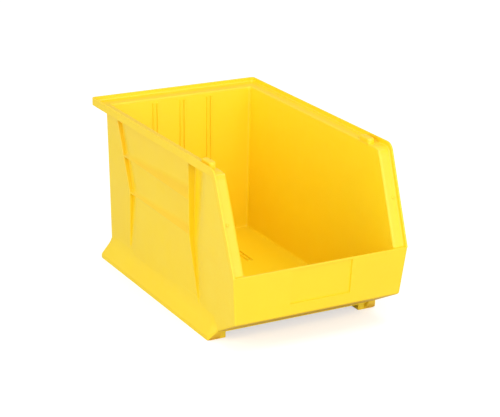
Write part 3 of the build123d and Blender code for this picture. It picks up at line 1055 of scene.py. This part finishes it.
class BinSizes(bpy.types.PropertyGroup):
    """Sizes of details, besides the main sizes that the frame gives."""

    label_depth: FloatProperty(
        name="Label recess", description="Depth of the label recess in the front wall",
        default=0.002, min=0, max=0.0025, unit="LENGTH")
    corner_rounding: FloatProperty(
        name="Inside corners", description="How far the rounding of the upright inside corners reaches",
        default=0.0045, min=0, max=0.012, unit="LENGTH")
    floor_rounding: FloatProperty(
        name="Floor edge", description="How far the rounding between floor and sides reaches",
        default=0.004, min=0, max=0.01, unit="LENGTH")
    cove_height: FloatProperty(
        name="Skirt cove", description="Height of the soft curve where the skirt joins the sides",
        default=0.013, min=0.005, max=0.02, unit="LENGTH")
    pocket_ramp: FloatProperty(
        name="Pocket ramp", description="Length of the ramp into the pocket in front of the fin",
        default=0.03, min=0.005, max=0.04, unit="LENGTH")
    scoop_length: FloatProperty(
        name="Rear scoop", description="Length of the hollow in front of the rear post",
        default=0.034, min=0.01, max=0.06, unit="LENGTH")
    upper_rib_slope: FloatProperty(
        name="Upper rib slope", description="Height at the fin of the slope over the upper rib",
        default=0.015, min=0.004, max=0.03, unit="LENGTH")
    lower_rib_slope: FloatProperty(
        name="Lower rib slope", description="Height at the fin of the slope over the lower rib",
        default=0.01, min=0.004, max=0.03, unit="LENGTH")


class BinLook(bpy.types.PropertyGroup):
    """Colours of the moulded plastic."""

    colour: FloatVectorProperty(
        name="Plastic colour", description="Main colour of the polypropylene",
        subtype="COLOR", default=(0.99, 0.71, 0.003), min=0, max=1)
    deep_colour: FloatVectorProperty(
        name="Deep colour", description="Slightly deeper colour where the melt flowed thicker",
        subtype="COLOR", default=(0.97, 0.655, 0.002), min=0, max=1)
    edge_colour: FloatVectorProperty(
        name="Edge colour", description="Paler colour of rubbed edges and scuffs",
        subtype="COLOR", default=(0.99, 0.76, 0.06), min=0, max=1)


class BinStudio(bpy.types.PropertyGroup):
    """The pale studio and its camera."""

    room_light: FloatProperty(
        name="Room light", description="Strength of the white surround", default=0.55, min=0)
    left_light: FloatProperty(
        name="Left softbox", description="Power of the large soft light on the left",
        default=43.5, min=0, unit="POWER")
    top_light: FloatProperty(
        name="Top softbox", description="Power of the large soft light above",
        default=28, min=0, unit="POWER")
    corner_light: FloatProperty(
        name="Corner softbox", description="Power of the soft light at the front left",
        default=27, min=0, unit="POWER")
    front_light: FloatProperty(
        name="Front softbox", description="Power of the large soft light in front",
        default=45, min=0, unit="POWER")
    floor_width: FloatProperty(
        name="Floor width", description="Width of the studio floor", default=30, unit="LENGTH")
    lens: FloatProperty(
        name="Lens", description="Focal length in millimetres", default=119.8, min=10)
    camera_place: FloatVectorProperty(
        name="Camera place", description="Where the camera stands", default=(-1.0953, -2.0229, 0.9235),
        subtype="TRANSLATION", unit="LENGTH")
    view_turn: FloatProperty(
        name="View turn", description="Turn about the vertical", default=radians(28.68), unit="ROTATION")
    view_tilt: FloatProperty(
        name="View tilt", description="Downward tilt", default=radians(19.15), unit="ROTATION")
    view_roll: FloatProperty(
        name="View roll", description="Roll about the view", default=radians(0.71), unit="ROTATION")


class BIN_OT_tub(bpy.types.Operator):
    """Builds the inside walls and the floor"""

    bl_idname = "storage_bin.tub"
    bl_label = "Tub walls and floor"

    def execute(self, context):
        build_tub()
        build_floor()
        return {"FINISHED"}


class BIN_OT_rim(bpy.types.Operator):
    """Builds the stepped stacking rim, hanging lip and hopper lands"""

    bl_idname = "storage_bin.rim"
    bl_label = "Stacking rim"

    def execute(self, context):
        build_rim()
        return {"FINISHED"}


class BIN_OT_front(bpy.types.Operator):
    """Builds the low front wall, its label recess and the chin"""

    bl_idname = "storage_bin.front"
    bl_label = "Front wall and chin"

    def execute(self, context):
        build_front_wall()
        return {"FINISHED"}


class BIN_OT_sides(bpy.types.Operator):
    """Builds the relief of the two sides"""

    bl_idname = "storage_bin.sides"
    bl_label = "Side relief"

    def execute(self, context):
        build_sides()
        return {"FINISHED"}


class BIN_OT_base(bpy.types.Operator):
    """Builds the flared base skirt and the hollow feet"""

    bl_idname = "storage_bin.base"
    bl_label = "Base skirt and feet"

    def execute(self, context):
        build_skirt()
        build_feet()
        return {"FINISHED"}


class BIN_OT_small_parts(bpy.types.Operator):
    """Builds the stop lugs, pips and divider ribs"""

    bl_idname = "storage_bin.small_parts"
    bl_label = "Lugs, pips and divider ribs"

    def execute(self, context):
        build_lugs()
        build_pips()
        build_divider_ribs()
        return {"FINISHED"}


class BIN_OT_stage(bpy.types.Operator):
    """Builds the studio floor, lights and camera"""

    bl_idname = "storage_bin.stage"
    bl_label = "Studio"

    def execute(self, context):
        build_stage()
        return {"FINISHED"}


OPERATORS = (
    BIN_OT_tub, BIN_OT_rim, BIN_OT_front, BIN_OT_sides, BIN_OT_base, BIN_OT_small_parts, BIN_OT_stage,
)


class BIN_PT_panel(bpy.types.Panel):
    """Lists the steps that build the bin"""

    bl_idname = "BIN_PT_panel"
    bl_label = "Storage bin"
    bl_space_type = "VIEW_3D"
    bl_region_type = "UI"
    bl_category = "Storage bin"

    def draw(self, context):
        layout = self.layout
        for settings in (context.scene.bin_sizes, context.scene.bin_look, context.scene.bin_studio):
            for name in settings.__annotations__:
                layout.prop(settings, name)
        for operator in OPERATORS:
            layout.operator(operator.bl_idname)


CLASSES = (BinSizes, BinLook, BinStudio, *OPERATORS, BIN_PT_panel)


def register():
    for item in CLASSES:
        bpy.utils.register_class(item)
    bpy.types.Scene.bin_sizes = PointerProperty(type=BinSizes)
    bpy.types.Scene.bin_look = PointerProperty(type=BinLook)
    bpy.types.Scene.bin_studio = PointerProperty(type=BinStudio)


def unregister():
    del bpy.types.Scene.bin_studio
    del bpy.types.Scene.bin_look
    del bpy.types.Scene.bin_sizes
    for item in reversed(CLASSES):
        bpy.utils.unregister_class(item)


def main():
    register()
    bpy.ops.storage_bin.tub()
    bpy.ops.storage_bin.rim()
    bpy.ops.storage_bin.front()
    bpy.ops.storage_bin.sides()
    bpy.ops.storage_bin.base()
    bpy.ops.storage_bin.small_parts()
    bpy.ops.storage_bin.stage()


if __name__ == "__main__":
    main()
